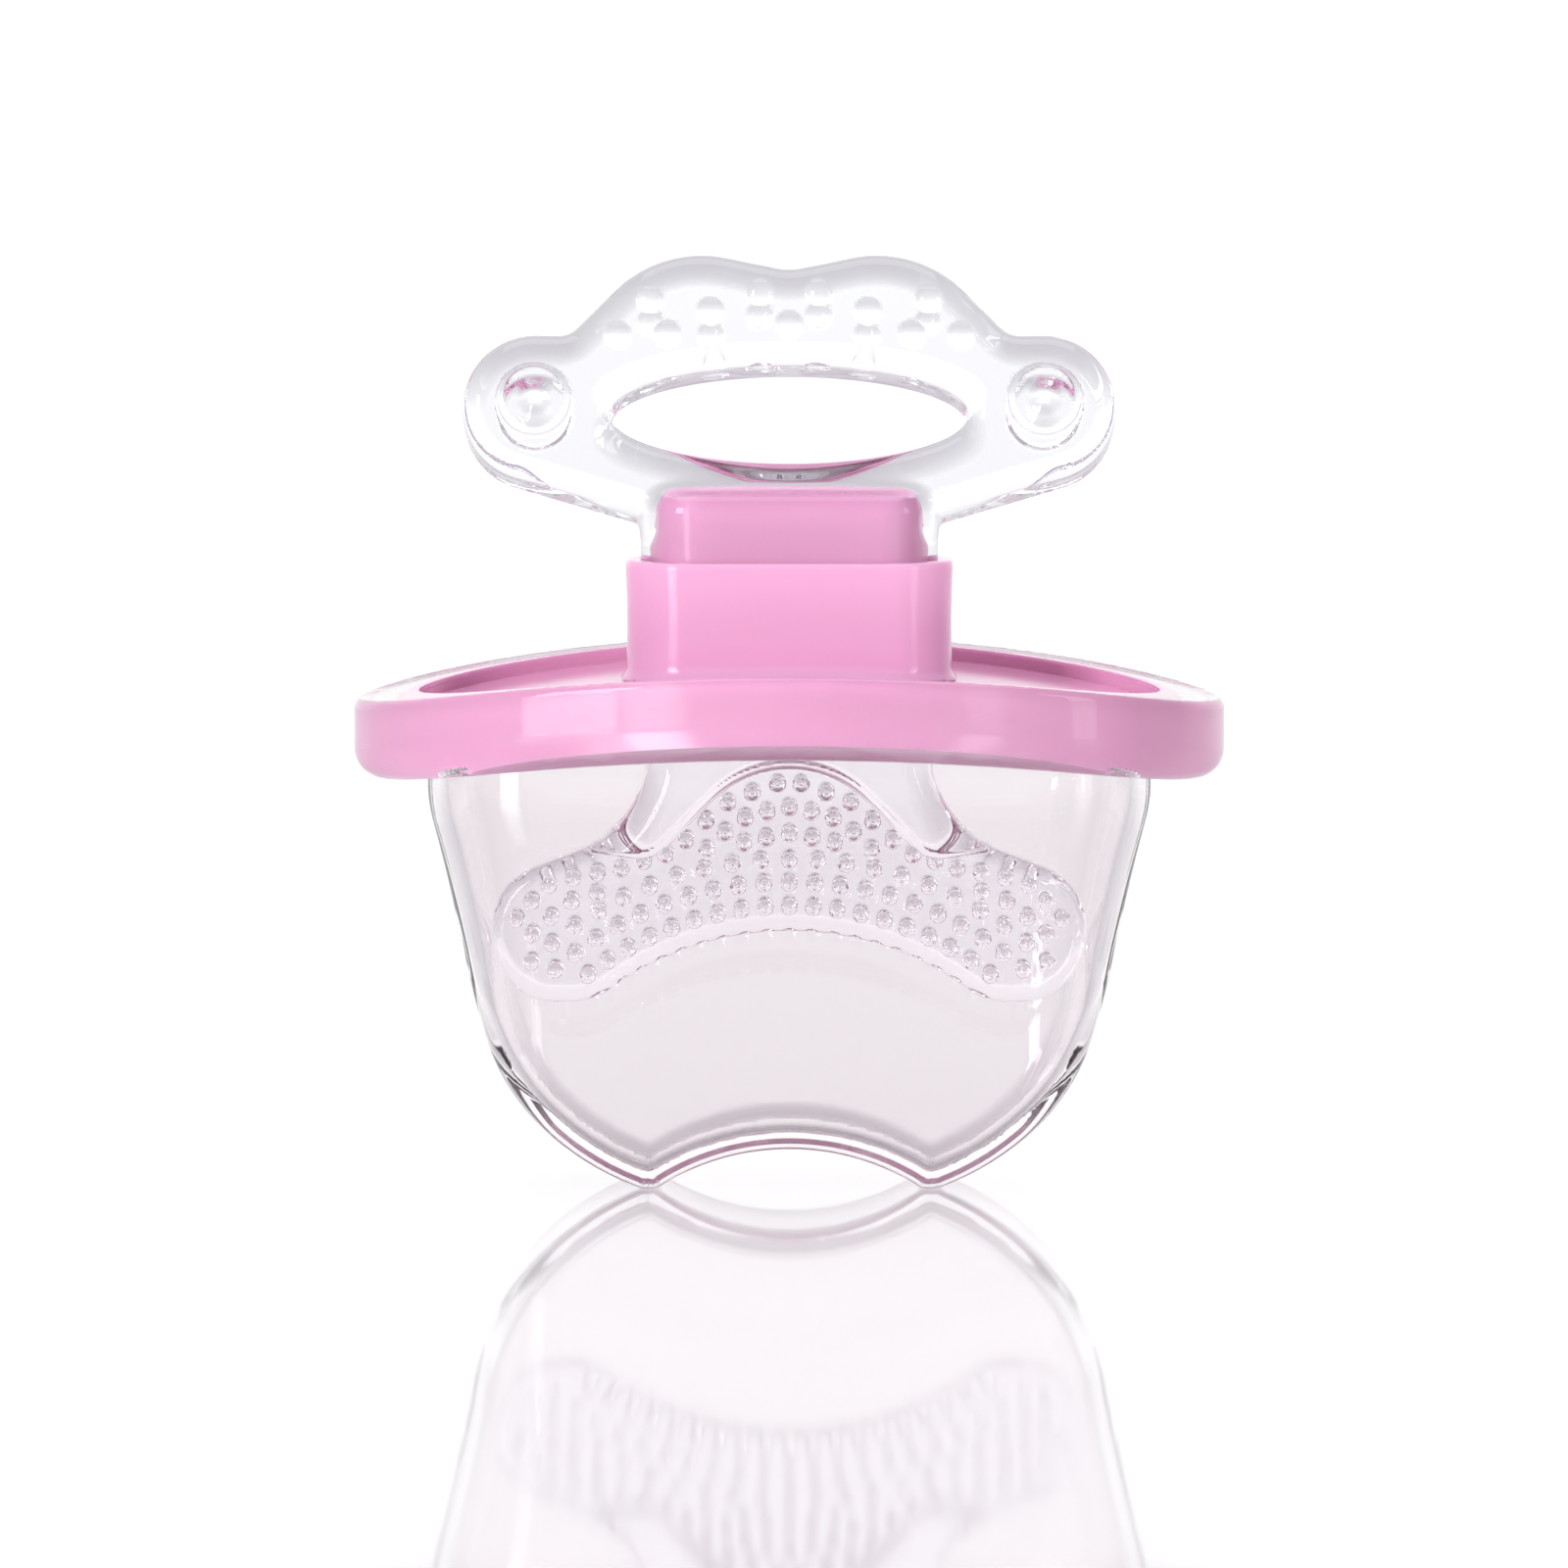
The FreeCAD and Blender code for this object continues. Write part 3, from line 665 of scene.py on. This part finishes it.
make_camera()
silicone = clear_material(
    "clear_silicone", (0.968, 0.968, 0.985), (0.93, 0.92, 0.94), SILICONE_IOR, 0.01, 0.02,
)
# Painted shade: the handle's clear silicone, tinted darker and bluer than the chewing plate's so that its
# edges come out darker.
handle_silicone_painted_shade = clear_material(
    "handle_silicone_painted_shade", (0.915, 0.922, 0.945), (0.93, 0.92, 0.94), SILICONE_IOR, 0.01, 0.02,
)
soft_rim = clear_material(
    "soft_rim", (0.97, 0.955, 0.97), (0.95, 0.94, 0.95), SILICONE_IOR, 0.05, 0.02,
)
hard_clear = clear_material(
    "clear_cover", (0.955, 0.925, 0.94), (0.93, 0.9, 0.92), HARD_CLEAR_IOR, 0.01, 0.01,
)
pink = pink_material("pink_plastic", (0.83, 0.41, 0.64), (0.86, 0.46, 0.68))
# Painted shade: a deeper copy of the pink plastic for the shield and core, darkened for the shade they sit
# in under the clear silicone.
pink_painted_shade = pink_material("pink_painted_shade", (0.79, 0.37, 0.59), (0.82, 0.42, 0.63))

handle = surface("handle_visual", handle_field(), (-26, -7, 40), (26, 11, 73), 0.25)
chewing = surface("chewing_plate_visual", chewing_field(), (-24, -5.2, 13), (24, 5.2, 41), 0.2)
cover = surface("cover_visual", cover_field(), (-28.5, -15, -1), (28.5, 15, 36), 0.45)
collar = surface("collar_visual", collar_field(), (-13.5, -7.2, 37), (13.5, 7.2, 48), 0.25)
rim = surface("shield_rim_visual", rim_field(), (-34, -23, 29), (34, 23, 41.5), 0.35)

for piece, node, body, material, finish in (
    (handle, "handle", "teether", handle_silicone_painted_shade, "clear_silicone"),
    (chewing, "chewing_plate", "teether", silicone, "clear_silicone"),
    (rim, "shield_rim", "teether", soft_rim, "clear_silicone"),
    (cover, "cover", "cover_body", hard_clear, "clear_cover"),
    (collar, "collar", "teether", pink, "pink_plastic"),
):
    paint(piece, material)
    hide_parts(node)
    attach(piece, body)
for node in ("shield", "core"):
    dress(node, pink_painted_shade)

make_floor()
make_world()
make_lamp("key", (-0.52, -0.74, 0.27), (0, 0, 0.035), 0.26, 0.5, 3.9)
make_lamp("side", (0.75, -0.6, 0.27), (0, 0, 0.035), 0.2, 0.5, 1.1)
make_lamp("top", (0.0, 0.1, 1.0), (0, 0, 0.0), 0.9, 0.7, 4.0)
bounce = make_lamp("bounce", (0.0, 0.0, 0.001), (0, 0, 1.0), 0.4, 0.4, 0.7)
bounce.visible_camera = bounce.visible_transmission = bounce.visible_glossy = False
bpy.context.scene.view_settings.view_transform = "Standard"
cycles = bpy.context.scene.cycles
cycles.max_bounces = cycles.transmission_bounces = cycles.glossy_bounces = LIGHT_BOUNCES
